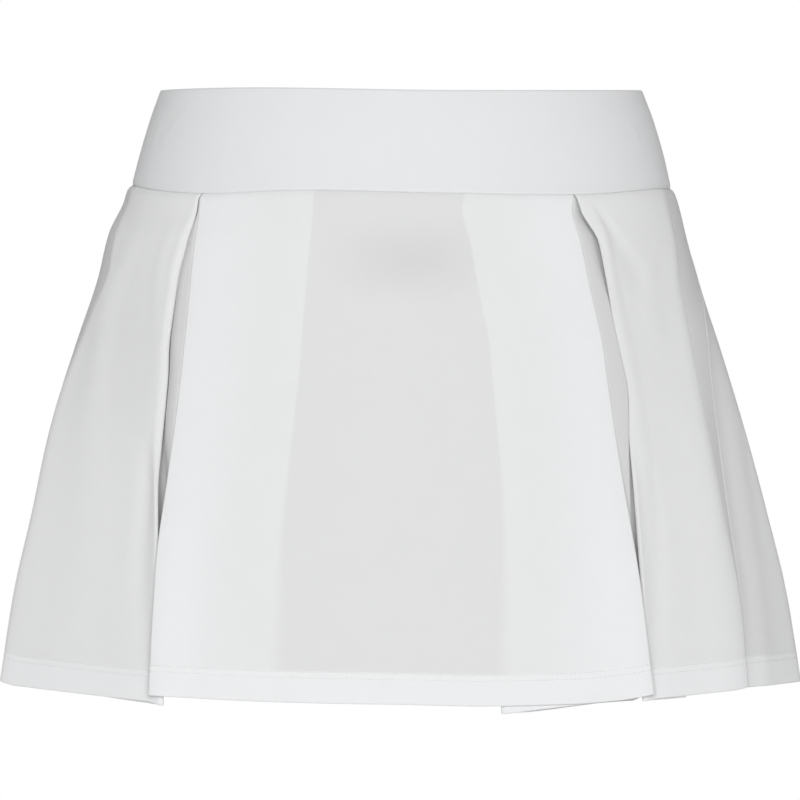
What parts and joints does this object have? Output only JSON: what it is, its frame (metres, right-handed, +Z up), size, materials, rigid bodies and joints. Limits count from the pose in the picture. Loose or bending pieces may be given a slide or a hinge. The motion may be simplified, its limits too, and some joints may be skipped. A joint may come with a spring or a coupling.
{
  "type": "tennis skirt",
  "caption": "Short flared skirt with a wide smooth waistband, inverted box pleats and a plain turned-up hem, worn and open at waist and hem.",
  "frame": {"origin": "centre of the waist opening, level with the waistband's top edge, where the wearer's waist holds the skirt", "axes": "+Z up along the wearer's body, the skirt's front faces -Y, +X is to the right of someone who looks at the front"},
  "size_m": [0.4571, 0.3171, 0.3469],
  "materials": {
    "band_knit": "smooth matt double stretch knit",
    "skirt_knit": "smooth matt stretch knit"
  },
  "bodies": {
    "root": {"waistband_front": "band_knit", "waistband_back": "band_knit", "skirt_front": "skirt_knit", "skirt_back": "skirt_knit"}
  },
  "joints": []
}
